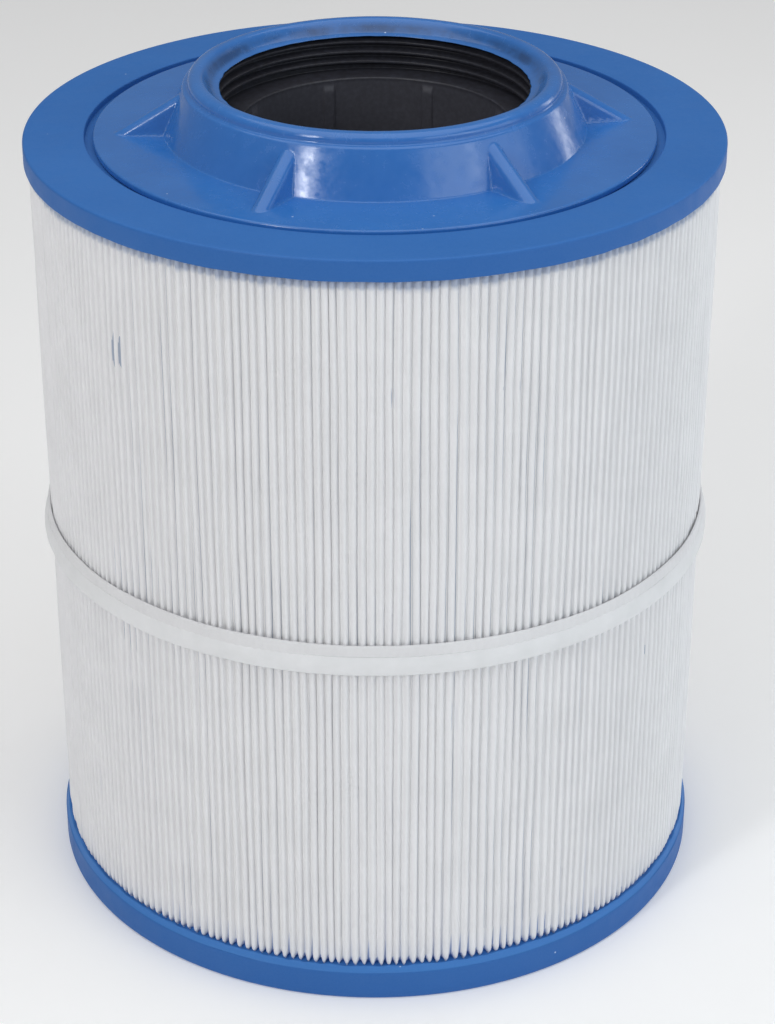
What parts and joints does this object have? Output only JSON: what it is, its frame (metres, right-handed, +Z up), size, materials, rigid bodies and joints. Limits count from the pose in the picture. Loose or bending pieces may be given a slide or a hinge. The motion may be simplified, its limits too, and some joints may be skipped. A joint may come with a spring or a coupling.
{
  "type": "pleated filter cartridge",
  "caption": "Cylindrical pleated water filter cartridge with cast end caps and a flanged threaded neck, for a pool or spa filter.",
  "frame": {"origin": "centre of the flat bottom face, where the cartridge stands", "axes": "+Z up along the cartridge's axis, out of the threaded neck; +Y away from the side that the reference view shows"},
  "size_m": [0.2176, 0.2176, 0.2695],
  "materials": {
    "cap_polyurethane": "satin",
    "collar_plastic": "gloss",
    "sleeve_plastic": "gloss",
    "core_plastic": "satin",
    "filter_media": "matte",
    "band_fabric": "matte",
    "hot_melt": "satin"
  },
  "bodies": {
    "root": {"bottom_end_cap": "cap_polyurethane", "top_end_cap": "cap_polyurethane", "collar_plate": "collar_plastic", "threaded_sleeve": "sleeve_plastic", "core_end_plug": "core_plastic", "core_lower": "core_plastic", "core_middle": "core_plastic", "core_upper": "core_plastic", "pleat_pack_1": "filter_media", "pleat_pack_2": "filter_media", "pleat_pack_3": "filter_media", "pleat_pack_4": "filter_media", "pleat_pack_5": "filter_media", "pleat_pack_6": "filter_media", "pleat_pack_7": "filter_media", "pleat_pack_8": "filter_media", "media_seam": "hot_melt", "center_band": "band_fabric", "band_bead": "hot_melt"}
  },
  "joints": []
}
